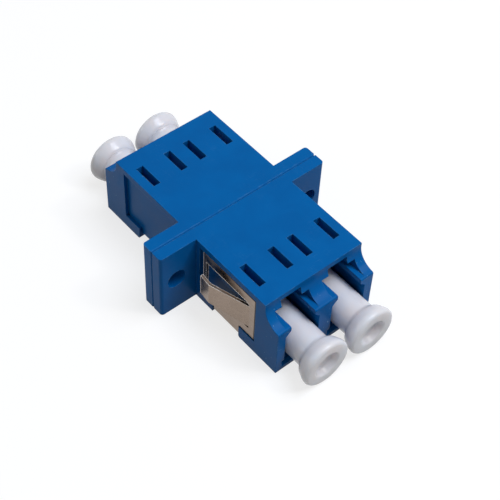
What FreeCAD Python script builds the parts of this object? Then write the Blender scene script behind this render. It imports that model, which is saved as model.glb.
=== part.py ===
import FreeCAD, Part
import math
import os
import Sketcher
from FreeCAD import Placement, Rotation, Vector

# Duplex LC fibre-optic adapter with a screw flange, panel clip and dust caps.
#
# Frame: X across the two ports, Y along the fibres (the clip is on the -Y half),
# Z up with the latch windows on top.  The origin is the middle of the underside,
# in the plane of the weld seam between the two housing halves.  Millimetres.

DIMS = [
    # name, value, meaning
    ("body_width", 12.9, "outer width of the housing"),
    ("body_height", 9.1, "outer height of the housing"),
    ("lip_reach", 14.45, "end of the side walls and floor, from the seam"),
    ("scoop_radius", 2.15, "radius of the scoop cut out over the mouth"),
    ("lip_round", 0.22, "rounding of the lip's front edge"),
    ("flange_end", 2.05, "from a screw hole's middle to the flange's end"),
    ("flange_half", 1.48, "thickness of one half of the flange"),
    ("flange_round", 0.35, "rounding of the flange's upright corners"),
    ("seam_bevel", 0.12, "bevel of the flange edge at the weld seam"),
    ("screw_spacing", 18.0, "distance between the screw holes"),
    ("screw_height", 4.7, "height of the screw holes"),
    ("screw_hole_radius", 1.15, "clearance hole for an M2 screw"),
    ("port_pitch", 6.25, "distance between the two fibre axes"),
    ("port_floor", 0.68, "thickness of the floor under a plug cavity"),
    ("cavity_width", 4.54, "width and height of a plug cavity"),
    ("rib_gap", 3.2, "opening between the ribs that hold the plug down"),
    ("rib_nose", 0.6, "height of a rib's inner face"),
    ("lug_channel_width", 4.5, "width of the channel for the latch lugs"),
    ("lug_channel_depth", 1.12, "height of the channel for the latch lugs"),
    ("arm_slot_width", 2.62, "width of the slot for the latch arm"),
    ("arm_slot_depth", 0.85, "height of the slot for the latch arm"),
    ("roof", 0.68, "thickness of the roof over the latch arm"),
    ("window_width", 0.85, "width of a latch window"),
    ("window_length", 3.1, "length of a latch window"),
    ("window_start", 7.0, "inner end of the latch windows, from the seam"),
    ("leadin_flare", 0.3, "how far the mouth's lower corners flare sideways"),
    ("leadin_drop", 0.18, "how far the mouth's lower corners flare downwards"),
    ("leadin_height", 0.75, "height of the flared part of the mouth"),
    ("leadin_depth", 0.45, "how far the flare runs into the mouth"),
    ("bulkhead_half", 1.3, "half thickness of the wall between the sides"),
    ("boss_radius", 1.48, "outer radius of a sleeve holder"),
    ("boss_reach", 4.4, "end of a sleeve holder, from the seam"),
    ("boss_bevel", 0.15, "bevel at the mouth of a sleeve holder"),
    ("recess_start", 2.05, "flange end of the clip recess"),
    ("recess_end", 10.95, "mouth end of the clip recess"),
    ("recess_wall", 0.75, "from the clip recess up to the top of the housing"),
    ("heel_end", 4.25, "mouth end of the heel rail at the flange"),
    ("heel_height", 1.05, "height of the heel rail"),
    ("rail_start", 8.5, "flange end of the locating rail"),
    ("rail_height", 1.65, "height of the locating rail"),
    ("rail_round", 0.3, "rounding of the locating rail's lower corner"),
    ("sheet", 0.3, "thickness of the clip's sheet"),
    ("clip_sink", 0.1, "how deep the clip lies in the side walls"),
    ("base_sink", 0.05, "how deep the clip lies in the underside"),
    ("clip_gap", 0.1, "gap between the clip's edges and the recess"),
    ("clip_setback", 0.55, "gap between the clip and the recess's flange end"),
    ("clip_drop", 0.25, "gap over the clip's upper edge"),
    ("bend_radius", 0.2, "inner radius of the clip's bends"),
    ("pane_margin", 0.4, "sheet left at the flange end of the clip's window"),
    ("pane_low", 2.8, "lower edge of the clip's window"),
    ("pane_strip", 1.23, "sheet left over the clip's window"),
    ("pane_round", 0.47, "rounding of the window beside the tongue's root"),
    ("root_margin", 0.95, "sheet left beyond the tongue's root"),
    ("tongue_tip_gap", 0.75, "from the window's flange end to the tongue's tip"),
    ("tongue_nose", 1.45, "from the tongue's tip to its crest"),
    ("tongue_slit", 0.3, "slit under the tongue at its root"),
    ("tongue_lift", 1.45, "how far the crest stands out from the plate"),
    ("tongue_return", 0.13, "how far the tip falls back from the crest"),
    ("tongue_taper", 0.5, "how much narrower the tongue is at its tip"),
    ("sleeve_radius", 0.81, "outer radius of a split sleeve"),
    ("ferrule_radius", 0.62, "inner radius of a split sleeve"),
    ("sleeve_length", 6.8, "length of a split sleeve"),
    ("sleeve_slit", 0.25, "width of the slit along a split sleeve"),
    ("sleeve_float", 0.04, "radial clearance round a split sleeve"),
    ("sleeve_end_float", 0.1, "clearance at each end of a split sleeve"),
    ("holder_mouth_radius", 0.7, "opening at the end of a sleeve holder"),
    ("cap_play", 0.24, "gap between a cap's barrel and the plug cavity"),
    ("cap_fit", 0.05, "radial clearance of a cap on its sleeve holder"),
    ("cap_bottom_gap", 0.3, "gap between a cap's end and the bulkhead"),
    ("cap_bore_spare", 0.6, "bore depth beyond the end of the sleeve holder"),
    ("cap_stand_off", 2.4, "from the lip to the back of a cap's head"),
    ("cap_head_gap", 0.45, "gap between the heads of two caps side by side"),
    ("cap_head_thickness", 1.55, "thickness of a dust cap's head"),
    ("cap_head_bevel", 0.22, "bevel of the head's two outer edges"),
    ("cap_end_bevel", 0.15, "bevel of the barrel's inner end"),
    ("cap_dish_radius", 1.55, "radius of the dish in the head"),
    ("cap_dish_slope", 0.4, "how far the dish's wall slopes in"),
    ("cap_dish_depth", 0.75, "depth of the dish in the head"),
]

DERIVED = [
    ("half_width", "Dims.body_width / 2"),
    ("half_screw", "Dims.screw_spacing / 2"),
    ("half_flange", "Dims.screw_spacing / 2 + Dims.flange_end"),
    ("half_pitch", "Dims.port_pitch / 2"),
    ("arm_roof", "Dims.body_height - Dims.roof"),
    ("lug_roof", "arm_roof - Dims.arm_slot_depth"),
    ("lip_height", "lug_roof - Dims.lug_channel_depth"),
    ("rib_edge_height", "lip_height - Dims.rib_nose"),
    ("roof_reach", "Dims.lip_reach - Dims.scoop_radius"),
    ("scoop_height", "lip_height + Dims.scoop_radius"),
    ("axis_height", "Dims.port_floor + Dims.cavity_width / 2"),
    ("cavity_left", "half_pitch - Dims.cavity_width / 2"),
    ("cavity_right", "half_pitch + Dims.cavity_width / 2"),
    ("cavity_roof", "Dims.port_floor + Dims.cavity_width"),
    ("rib_left", "half_pitch - Dims.rib_gap / 2"),
    ("rib_right", "half_pitch + Dims.rib_gap / 2"),
    ("lug_left", "half_pitch - Dims.lug_channel_width / 2"),
    ("lug_right", "half_pitch + Dims.lug_channel_width / 2"),
    ("arm_left", "half_pitch - Dims.arm_slot_width / 2"),
    ("arm_right", "half_pitch + Dims.arm_slot_width / 2"),
    ("window_left_in", "lug_left + Dims.window_width"),
    ("window_right_in", "lug_right - Dims.window_width"),
    ("window_end", "Dims.window_start + Dims.window_length"),
    ("sleeve_bore", "Dims.sleeve_radius + Dims.sleeve_float"),
    ("sleeve_bore_end", "Dims.sleeve_length / 2 + Dims.sleeve_end_float"),
    ("half_slit", "Dims.sleeve_slit / 2"),
    ("flare_left", "cavity_left - Dims.leadin_flare"),
    ("flare_right", "cavity_right + Dims.leadin_flare"),
    ("flare_floor", "Dims.port_floor - Dims.leadin_drop"),
    ("flare_top", "Dims.port_floor + Dims.leadin_height"),
    ("flare_end", "Dims.lip_reach - Dims.leadin_depth"),
    ("recess_depth", "Dims.sheet + Dims.clip_sink"),
    ("recess_floor_x", "half_width - recess_depth"),
    ("recess_top", "Dims.body_height - Dims.recess_wall"),
    ("base_recess_depth", "Dims.sheet + Dims.base_sink"),
    ("plate_in", "recess_floor_x"),
    ("plate_out", "recess_floor_x + Dims.sheet"),
    ("base_top", "base_recess_depth"),
    ("base_under", "Dims.base_sink"),
    ("clip_start", "Dims.recess_start + Dims.clip_setback"),
    ("clip_end", "Dims.recess_end - Dims.clip_gap"),
    ("clip_length", "clip_end - clip_start"),
    ("clip_top", "recess_top - Dims.clip_drop"),
    ("heel_notch_end", "Dims.heel_end + Dims.clip_gap"),
    ("heel_notch_top", "Dims.heel_height + Dims.clip_gap"),
    ("rail_notch_start", "Dims.rail_start - Dims.clip_gap"),
    ("rail_notch_top", "Dims.rail_height + Dims.clip_gap"),
    ("outer_bend", "Dims.bend_radius + Dims.sheet"),
    ("pane_start", "clip_start + Dims.pane_margin"),
    ("pane_high", "clip_top - Dims.pane_strip"),
    ("tongue_root", "clip_end - Dims.root_margin"),
    ("tongue_anchor", "tongue_root + Dims.sheet"),
    ("tongue_tip", "pane_start + Dims.tongue_tip_gap"),
    ("tongue_crest", "tongue_tip + Dims.tongue_nose"),
    ("tongue_low", "Dims.pane_low + Dims.tongue_slit"),
    ("tongue_high", "pane_high - Dims.pane_round"),
    ("tongue_width", "tongue_high - tongue_low"),
    ("tongue_tip_low", "tongue_low + Dims.tongue_taper"),
    ("crest_out", "plate_out + Dims.tongue_lift"),
    ("crest_in", "plate_in + Dims.tongue_lift"),
    ("tip_out", "crest_out - Dims.tongue_return"),
    ("tip_in", "crest_in - Dims.tongue_return"),
    ("cap_bore", "Dims.boss_radius + Dims.cap_fit"),
    ("cap_barrel_radius", "Dims.cavity_width / 2 - Dims.cap_play"),
    ("cap_head_radius", "half_pitch - Dims.cap_head_gap / 2"),
    ("cap_end", "Dims.bulkhead_half + Dims.cap_bottom_gap"),
    ("cap_bore_end", "Dims.boss_reach + Dims.cap_bore_spare"),
    ("cap_neck", "Dims.lip_reach + Dims.cap_stand_off"),
    ("cap_face", "cap_neck + Dims.cap_head_thickness"),
    ("cap_dish_floor_radius", "Dims.cap_dish_radius - Dims.cap_dish_slope"),
    ("cap_dish_floor", "cap_face - Dims.cap_dish_depth"),
]

OVERSHOOT = 1.0  # how far a cutting profile runs past the faces it opens


def make_sheets(doc):
    """Fill the sheet of driving sizes and the sheet of sizes worked out from them."""
    dims = doc.addObject("Spreadsheet::Sheet", "Dims")
    for row, (name, value, meaning) in enumerate(DIMS, start=1):
        dims.set(f"A{row}", name)
        dims.set(f"B{row}", str(value))
        dims.set(f"C{row}", meaning)
        dims.setAlias(f"B{row}", name)
    doc.recompute()
    derived = doc.addObject("Spreadsheet::Sheet", "Derived")
    for row, (name, formula) in enumerate(DERIVED, start=1):
        derived.set(f"A{row}", name)
        derived.set(f"B{row}", "=" + formula)
        derived.setAlias(f"B{row}", name)
    doc.recompute()
    return dims, derived


class Sizes:
    """Reads a size by name and gives the expression that binds to its cell."""

    def __init__(self, dims, derived):
        self.sheets = {}
        for name, _, _ in DIMS:
            self.sheets[name] = dims
        for name, _ in DERIVED:
            self.sheets[name] = derived

    def value(self, term):
        """Number for a term: a name, '-name', or (term, plain overshoot)."""
        if isinstance(term, tuple):
            return self.value(term[0]) + term[1]
        if isinstance(term, (int, float)):
            return float(term)
        sign = -1.0 if term.startswith("-") else 1.0
        name = term.lstrip("-")
        return sign * float(self.sheets[name].get(name))

    def expression(self, term):
        """FreeCAD expression for the same term."""
        if isinstance(term, tuple):
            return f"{self.expression(term[0])} + {term[1]}"
        if isinstance(term, (int, float)):
            return str(term)
        sign = "-" if term.startswith("-") else ""
        name = term.lstrip("-")
        return f"{sign}{self.sheets[name].Name}.{name}"


def new_body(doc, label):
    body = doc.addObject("PartDesign::Body", label)
    body.Label = label
    return body


def origin_plane(body, role):
    return next(f for f in body.Origin.OriginFeatures if f.Role == role)


def new_sketch(body, size, name, role, offset=None):
    """Sketch on one of the body's origin planes, moved along its normal."""
    sketch = body.newObject("Sketcher::SketchObject", name)
    sketch.AttachmentSupport = [(origin_plane(body, role), "")]
    sketch.MapMode = "FlatFace"
    if offset is not None:
        sketch.AttachmentOffset = Placement(Vector(0, 0, size.value(offset)), Rotation())
        sketch.setExpression("AttachmentOffset.Base.z", size.expression(offset))
    return sketch


def pin_point(sketch, size, geo, pos, x, y):
    """Hold one point of the sketch at the place that its two size terms give."""
    for kind, axis, term in (("DistanceX", -2, x), ("DistanceY", -1, y)):
        if term is None:
            continue
        if isinstance(term, (int, float)) and term == 0:
            sketch.addConstraint(Sketcher.Constraint("PointOnObject", geo, pos, axis))
            continue
        index = sketch.addConstraint(
            Sketcher.Constraint(kind, -1, 1, geo, pos, size.value(term)))
        sketch.setExpression(f"Constraints[{index}]", size.expression(term))


def add_outline(sketch, size, points):
    """Closed outline of straight edges through the given points."""
    corners = [Vector(size.value(x), size.value(y), 0) for x, y in points]
    first = sketch.GeometryCount
    count = len(corners)
    for i in range(count):
        sketch.addGeometry(Part.LineSegment(corners[i], corners[(i + 1) % count]), False)
    for i in range(count):
        sketch.addConstraint(Sketcher.Constraint(
            "Coincident", first + i, 2, first + (i + 1) % count, 1))
    for i, (x, y) in enumerate(points):
        pin_point(sketch, size, first + i, 1, x, y)


def add_rectangle(sketch, size, left, right, low, high):
    add_outline(sketch, size, [(left, low), (right, low), (right, high), (left, high)])


def add_circle(sketch, size, x, y, radius):
    geo = sketch.addGeometry(Part.Circle(
        Vector(size.value(x), size.value(y), 0), Vector(0, 0, 1), size.value(radius)), False)
    pin_point(sketch, size, geo, 3, x, y)
    index = sketch.addConstraint(Sketcher.Constraint("Radius", geo, size.value(radius)))
    sketch.setExpression(f"Constraints[{index}]", size.expression(radius))


def extrude(doc, body, size, kind, name, sketch, length=None, midplane=False,
            reverse=False, through=False):
    """Pad or Pocket of a sketch; a Pocket must take something away."""
    before = body.Shape.Volume if kind == "Pocket" else 0.0
    feature = body.newObject("PartDesign::" + kind, name)
    feature.Profile = sketch
    if through:
        feature.Type = "ThroughAll"
    else:
        feature.Length = size.value(length)
        feature.setExpression("Length", size.expression(length))
    feature.Midplane = midplane
    feature.Reversed = reverse
    sketch.Visibility = False
    doc.recompute()
    if kind == "Pocket" and not body.Shape.Volume < before - 1e-6:
        raise RuntimeError(name + " takes nothing away")
    return feature


def mirror_features(doc, body, name, features):
    """Repeat features on the other side of the body's own middle plane."""
    mirrored = body.newObject("PartDesign::Mirrored", name)
    mirrored.Originals = features
    mirrored.MirrorPlane = (origin_plane(body, "YZ_Plane"), [""])
    body.Tip = mirrored
    doc.recompute()
    return mirrored


def find_edges(feature, test):
    """Names of the feature's edges whose middle point passes the test."""
    names = []
    for number, edge in enumerate(feature.Shape.Edges, start=1):
        middle = edge.valueAt((edge.FirstParameter + edge.LastParameter) / 2)
        if test(edge, middle):
            names.append(f"Edge{number}")
    return names


def dress(doc, body, size, kind, name, base, edges, amount):
    """Fillet or Chamfer of named edges, as large as the size says."""
    if not edges:
        raise RuntimeError(name + " finds no edge")
    feature = body.newObject("PartDesign::" + kind, name)
    feature.Base = (base, edges)
    prop = "Radius" if kind == "Fillet" else "Size"
    setattr(feature, prop, size.value(amount))
    feature.setExpression(prop, size.expression(amount))
    doc.recompute()
    return feature


def near(a, b, tolerance=1e-3):
    return abs(a - b) < tolerance


def along(edge, axis):
    """True for a straight edge that runs along the given axis."""
    if len(edge.Vertexes) != 2:
        return False
    span = edge.Vertexes[1].Point - edge.Vertexes[0].Point
    return near(abs(span.dot(axis)), edge.Length)


def round_edge(edge, radius):
    """True for an edge that is a full circle of the given radius."""
    return edge.isClosed() and near(edge.Length, 2 * math.pi * radius)


# ---------------------------------------------------------------- housing halves

def housing_block(doc, body, size):
    """Outer block of one half with its flange, scooped mouth and rounded lips."""
    sketch = new_sketch(body, size, "block_outline", "XZ_Plane")
    add_rectangle(sketch, size, "-half_width", "half_width", 0, "body_height")
    extrude(doc, body, size, "Pad", "block", sketch, "lip_reach")

    sketch = new_sketch(body, size, "flange_outline", "XZ_Plane")
    add_rectangle(sketch, size, "-half_flange", "half_flange", 0, "body_height")
    flange = extrude(doc, body, size, "Pad", "flange", sketch, "flange_half")

    x_flange, y_flange = size.value("half_flange"), -size.value("flange_half")
    up = Vector(0, 0, 1)
    edges = find_edges(flange, lambda e, m: along(e, up) and near(abs(m.x), x_flange)
                       and near(m.y, y_flange))
    flange = dress(doc, body, size, "Fillet", "flange_corners", flange, edges, "flange_round")

    height = size.value("body_height")
    edges = find_edges(flange, lambda e, m: near(m.y, 0) and (
        near(abs(m.x), x_flange) or near(m.z, height)))
    dress(doc, body, size, "Chamfer", "seam_groove", flange, edges, "seam_bevel")

    sketch = new_sketch(body, size, "roof_cut_outline", "YZ_Plane")
    add_rectangle(sketch, size, ("-lip_reach", -OVERSHOOT), "-roof_reach",
                  "scoop_height", ("body_height", OVERSHOOT))
    extrude(doc, body, size, "Pocket", "roof_cut", sketch, midplane=True, through=True)

    sketch = new_sketch(body, size, "scoop_outline", "YZ_Plane")
    add_circle(sketch, size, "-lip_reach", "scoop_height", "scoop_radius")
    scoop = extrude(doc, body, size, "Pocket", "scoop", sketch, midplane=True, through=True)

    y_lip, z_lip = -size.value("lip_reach"), size.value("lip_height")
    edges = find_edges(scoop, lambda e, m: near(m.y, y_lip) and near(m.z, z_lip))
    dress(doc, body, size, "Fillet", "lip_edge", scoop, edges, "lip_round")


def housing_recess(doc, body, size):
    """Clip recess round the sides and underside, between the heel and locating rails."""
    sketch = new_sketch(body, size, "side_recess_outline", "YZ_Plane", "half_width")
    add_outline(sketch, size, [
        ("-recess_start", "recess_top"), ("-recess_end", "recess_top"),
        ("-recess_end", "rail_height"), ("-rail_start", "rail_height"),
        ("-rail_start", -OVERSHOOT), ("-heel_end", -OVERSHOOT),
        ("-heel_end", "heel_height"), ("-recess_start", "heel_height")])
    side = extrude(doc, body, size, "Pocket", "side_recess", sketch, "recess_depth")
    mirror_features(doc, body, "side_recess_left", [side])

    sketch = new_sketch(body, size, "base_recess_outline", "XY_Plane")
    add_rectangle(sketch, size, ("-half_width", -OVERSHOOT), ("half_width", OVERSHOOT),
                  "-rail_start", "-heel_end")
    base = extrude(doc, body, size, "Pocket", "base_recess", sketch, "base_recess_depth",
                   reverse=True)

    x_edge, z_edge = size.value("recess_floor_x"), size.value("base_recess_depth")
    forward, across = Vector(0, 1, 0), Vector(1, 0, 0)
    edges = find_edges(base, lambda e, m: along(e, forward) and near(abs(m.x), x_edge)
                       and near(m.z, z_edge))
    bend = dress(doc, body, size, "Fillet", "recess_bend", base, edges, "outer_bend")

    y_rail = -size.value("rail_start")
    edges = find_edges(bend, lambda e, m: along(e, across) and near(m.y, y_rail)
                       and near(m.z, 0))
    dress(doc, body, size, "Fillet", "rail_corner", bend, edges, "rail_round")


def housing_ports(doc, body, size):
    """Plug cavities, latch channels, windows and mouth flares, one port then its mirror."""
    sketch = new_sketch(body, size, "cavity_outline", "XZ_Plane", "bulkhead_half")
    add_outline(sketch, size, [
        ("cavity_left", "port_floor"), ("cavity_right", "port_floor"),
        ("cavity_right", "cavity_roof"), ("rib_right", "rib_edge_height"),
        ("rib_left", "rib_edge_height"), ("cavity_left", "cavity_roof")])
    cavity = extrude(doc, body, size, "Pocket", "cavity", sketch, reverse=True, through=True)

    sketch = new_sketch(body, size, "latch_outline", "XZ_Plane", "window_start")
    add_outline(sketch, size, [
        ("rib_left", "rib_edge_height"), ("rib_right", "rib_edge_height"),
        ("rib_right", "lip_height"), ("lug_right", "lip_height"),
        ("lug_right", "lug_roof"), ("arm_right", "lug_roof"),
        ("arm_right", "arm_roof"), ("arm_left", "arm_roof"),
        ("arm_left", "lug_roof"), ("lug_left", "lug_roof"),
        ("lug_left", "lip_height"), ("rib_left", "lip_height")])
    latch = extrude(doc, body, size, "Pocket", "latch_channel", sketch, reverse=True,
                    through=True)

    sketch = new_sketch(body, size, "window_outline", "XY_Plane", "lug_roof")
    for left, right in (("lug_left", "window_left_in"), ("window_right_in", "lug_right")):
        add_rectangle(sketch, size, left, right, "-window_end", "-window_start")
    windows = extrude(doc, body, size, "Pocket", "latch_windows", sketch, reverse=True,
                      through=True)

    flare = mouth_flare(doc, body, size)
    mirror_features(doc, body, "left_port", [cavity, latch, windows, flare])


def mouth_flare(doc, body, size):
    """Tapered relief that leads the plug into the lower corners of the mouth."""
    outer = new_sketch(body, size, "flare_outer", "XZ_Plane", "lip_reach")
    add_rectangle(outer, size, "flare_left", "flare_right", "flare_floor", "flare_top")
    inner = new_sketch(body, size, "flare_inner", "XZ_Plane", "flare_end")
    add_rectangle(inner, size, "cavity_left", "cavity_right", "port_floor", "axis_height")
    flare = body.newObject("PartDesign::SubtractiveLoft", "mouth_flare")
    flare.Profile = outer
    flare.Sections = [inner]
    flare.Ruled = True
    doc.recompute()
    return flare


def housing_holders(doc, body, size):
    """Sleeve holders on the bulkhead, their bores, and the screw holes."""
    sketch = new_sketch(body, size, "holder_outline", "XZ_Plane")
    add_circle(sketch, size, "half_pitch", "axis_height", "boss_radius")
    holder = extrude(doc, body, size, "Pad", "sleeve_holder", sketch, "boss_reach")
    mirror_features(doc, body, "sleeve_holder_left", [holder])

    sketch = new_sketch(body, size, "sleeve_bore_outline", "XZ_Plane")
    add_circle(sketch, size, "half_pitch", "axis_height", "sleeve_bore")
    bore = extrude(doc, body, size, "Pocket", "sleeve_bore", sketch, "sleeve_bore_end",
                   reverse=True)
    sketch = new_sketch(body, size, "ferrule_mouth_outline", "XZ_Plane")
    add_circle(sketch, size, "half_pitch", "axis_height", "holder_mouth_radius")
    mouth = extrude(doc, body, size, "Pocket", "ferrule_mouth", sketch,
                    ("boss_reach", OVERSHOOT), reverse=True)
    sketch = new_sketch(body, size, "screw_hole_outline", "XZ_Plane")
    add_circle(sketch, size, "half_screw", "screw_height", "screw_hole_radius")
    screw = extrude(doc, body, size, "Pocket", "screw_hole", sketch,
                    ("flange_half", OVERSHOOT), reverse=True)
    left = mirror_features(doc, body, "left_bores", [bore, mouth, screw])

    y_end, radius = -size.value("boss_reach"), size.value("boss_radius")
    edges = find_edges(left, lambda e, m: round_edge(e, radius) and near(m.y, y_end))
    dress(doc, body, size, "Chamfer", "holder_bevel", left, edges, "boss_bevel")


def make_housing(doc, size, label, turn):
    """One moulded half; the other is the same moulding turned about Z."""
    body = new_body(doc, label)
    housing_block(doc, body, size)
    housing_recess(doc, body, size)
    housing_ports(doc, body, size)
    housing_holders(doc, body, size)
    body.Placement = Placement(Vector(), Rotation(Vector(0, 0, 1), turn))
    return body


# ---------------------------------------------------------------- panel clip

def clip_plates(doc, body, size):
    """The folded sheet: base and two side plates, notched round the housing's rails."""
    sketch = new_sketch(body, size, "fold_outline", "XZ_Plane", "clip_start")
    add_outline(sketch, size, [
        ("-plate_out", "clip_top"), ("-plate_out", "base_under"),
        ("plate_out", "base_under"), ("plate_out", "clip_top"),
        ("plate_in", "clip_top"), ("plate_in", "base_top"),
        ("-plate_in", "base_top"), ("-plate_in", "clip_top")])
    fold = extrude(doc, body, size, "Pad", "fold", sketch, "clip_length")

    forward, across = Vector(0, 1, 0), Vector(1, 0, 0)
    for name, x, z, radius in (("inner_bends", "plate_in", "base_top", "bend_radius"),
                               ("outer_bends", "plate_out", "base_under", "outer_bend")):
        x_bend, z_bend = size.value(x), size.value(z)
        edges = find_edges(fold, lambda e, m: along(e, forward)
                           and near(abs(m.x), x_bend) and near(m.z, z_bend))
        fold = dress(doc, body, size, "Fillet", name, fold, edges, radius)

    for name, first, last, top in (
            ("rail_notch", ("-clip_end", -OVERSHOOT), "-rail_notch_start", "rail_notch_top"),
            ("heel_notch", "-heel_notch_end", ("-clip_start", OVERSHOOT), "heel_notch_top")):
        sketch = new_sketch(body, size, name + "_outline", "YZ_Plane")
        add_rectangle(sketch, size, first, last, -OVERSHOOT, top)
        extrude(doc, body, size, "Pocket", name, sketch, midplane=True, through=True)

    sketch = new_sketch(body, size, "pane_outline", "YZ_Plane")
    add_rectangle(sketch, size, "-tongue_root", "-pane_start", "pane_low", "pane_high")
    pane = extrude(doc, body, size, "Pocket", "pane", sketch, midplane=True, through=True)
    y_root, z_high = -size.value("tongue_root"), size.value("pane_high")
    edges = find_edges(pane, lambda e, m: along(e, across) and near(m.y, y_root)
                       and near(m.z, z_high))
    dress(doc, body, size, "Fillet", "pane_corner", pane, edges, "pane_round")


def clip_tongues(doc, body, size):
    """The two spring tongues, lanced out of the plates and tapered to their tips."""
    sketch = new_sketch(body, size, "tongue_outline", "XY_Plane", "tongue_low")
    add_outline(sketch, size, [
        ("plate_in", "-tongue_anchor"), ("plate_out", "-tongue_anchor"),
        ("plate_out", "-tongue_root"), ("crest_out", "-tongue_crest"),
        ("tip_out", "-tongue_tip"), ("tip_in", "-tongue_tip"),
        ("crest_in", "-tongue_crest"), ("plate_in", "-tongue_root")])
    tongue = extrude(doc, body, size, "Pad", "tongue", sketch, "tongue_width")

    sketch = new_sketch(body, size, "taper_outline", "YZ_Plane", "plate_out")
    add_outline(sketch, size, [
        ("-tongue_root", "tongue_low"), ("-tongue_tip", "tongue_tip_low"),
        (("-tongue_tip", OVERSHOOT), "tongue_tip_low"),
        (("-tongue_tip", OVERSHOOT), "pane_low"), ("-tongue_root", "pane_low")])
    taper = extrude(doc, body, size, "Pocket", "tongue_taper", sketch,
                    ("tongue_lift", OVERSHOOT), reverse=True)
    mirror_features(doc, body, "tongue_left", [tongue, taper])


def make_clip(doc, size):
    """Folded spring-steel clip that holds the adapter in a panel without screws."""
    body = new_body(doc, "panel_clip")
    clip_plates(doc, body, size)
    clip_tongues(doc, body, size)
    return body


# ---------------------------------------------------------------- sleeves and caps

def place_on_axis(body, size, side, tilt):
    """Put a turned piece on a fibre axis; its own Z runs out of the adapter."""
    body.Placement = Placement(
        Vector(side * size.value("half_pitch"), 0, size.value("axis_height")),
        Rotation(Vector(1, 0, 0), tilt))
    body.setExpression("Placement.Base.x", f"{side} * {size.expression('half_pitch')}")
    body.setExpression("Placement.Base.z", size.expression("axis_height"))


def make_sleeve(doc, size, label, side):
    """Split ceramic sleeve that lines up the two ferrules of one fibre."""
    body = new_body(doc, label)
    sketch = new_sketch(body, size, "ring_outline", "XY_Plane")
    add_circle(sketch, size, 0, 0, "sleeve_radius")
    add_circle(sketch, size, 0, 0, "ferrule_radius")
    extrude(doc, body, size, "Pad", "ring", sketch, "sleeve_length", midplane=True)
    sketch = new_sketch(body, size, "slit_outline", "XY_Plane")
    add_rectangle(sketch, size, "-half_slit", "half_slit", 0, ("sleeve_radius", OVERSHOOT))
    extrude(doc, body, size, "Pocket", "slit", sketch, midplane=True, through=True)
    place_on_axis(body, size, side, 90)
    return body


def make_cap(doc, size, label, side, tilt):
    """Moulded dust cap: a barrel with a blind bore and a round, dished head."""
    body = new_body(doc, label)
    sketch = new_sketch(body, size, "cap_outline", "XZ_Plane")
    add_outline(sketch, size, [
        ("cap_bore", "cap_end"), ("cap_barrel_radius", "cap_end"),
        ("cap_barrel_radius", "cap_neck"), ("cap_head_radius", "cap_neck"),
        ("cap_head_radius", "cap_face"), ("cap_dish_radius", "cap_face"),
        ("cap_dish_floor_radius", "cap_dish_floor"), (0, "cap_dish_floor"),
        (0, "cap_bore_end"), ("cap_bore", "cap_bore_end")])
    turned = body.newObject("PartDesign::Revolution", "turned")
    turned.Profile = sketch
    turned.ReferenceAxis = (sketch, ["V_Axis"])
    turned.Angle = 360
    doc.recompute()

    head, barrel = size.value("cap_head_radius"), size.value("cap_barrel_radius")
    edges = find_edges(turned, lambda e, m: round_edge(e, head))
    rims = dress(doc, body, size, "Chamfer", "head_rims", turned, edges, "cap_head_bevel")
    z_end = size.value("cap_end")
    edges = find_edges(rims, lambda e, m: round_edge(e, barrel) and near(m.z, z_end))
    dress(doc, body, size, "Chamfer", "barrel_end", rims, edges, "cap_end_bevel")
    place_on_axis(body, size, side, tilt)
    return body


# ---------------------------------------------------------------- the adapter

def check_document(doc, bodies):
    """Stop before anything is written if an object failed or a solid is unsound."""
    for item in doc.Objects:
        if "Invalid" in item.State or "Error" in item.State:
            raise RuntimeError(item.Name + " failed: " + ", ".join(item.State))
    for body in bodies:
        shape = body.Shape
        if shape.isNull() or not shape.isValid() or len(shape.Solids) != 1:
            raise RuntimeError(body.Label + " is not one sound solid")


def main():
    os.makedirs("parts", exist_ok=True)
    doc = FreeCAD.newDocument("lc_adapter")
    size = Sizes(*make_sheets(doc))
    bodies = [make_housing(doc, size, "front_housing", 0),
              make_housing(doc, size, "rear_housing", 180),
              make_clip(doc, size)]
    for side, word in ((-1, "left"), (1, "right")):
        bodies.append(make_sleeve(doc, size, "sleeve_" + word, side))
        bodies.append(make_cap(doc, size, "dust_cap_front_" + word, side, 90))
        bodies.append(make_cap(doc, size, "dust_cap_rear_" + word, side, -90))
    doc.recompute()
    check_document(doc, bodies)
    for body in bodies:
        body.Shape.exportStep("parts/" + body.Label + ".step")
        box = body.Shape.BoundBox
        print(f"{body.Label}: volume {body.Shape.Volume:.2f}, "
              f"x {box.XMin:.2f}..{box.XMax:.2f}, y {box.YMin:.2f}..{box.YMax:.2f}, "
              f"z {box.ZMin:.2f}..{box.ZMax:.2f}")


main()
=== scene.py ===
"""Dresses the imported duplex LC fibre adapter: housing, clip, sleeves and dust caps.

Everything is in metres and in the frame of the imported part: X across the two ports, Y along
the fibres, Z up, with the middle of the underside at the origin.
"""
import logging
import math
from dataclasses import dataclass
from enum import Enum

import bmesh
import bpy
from mathutils import Matrix, Vector


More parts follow.
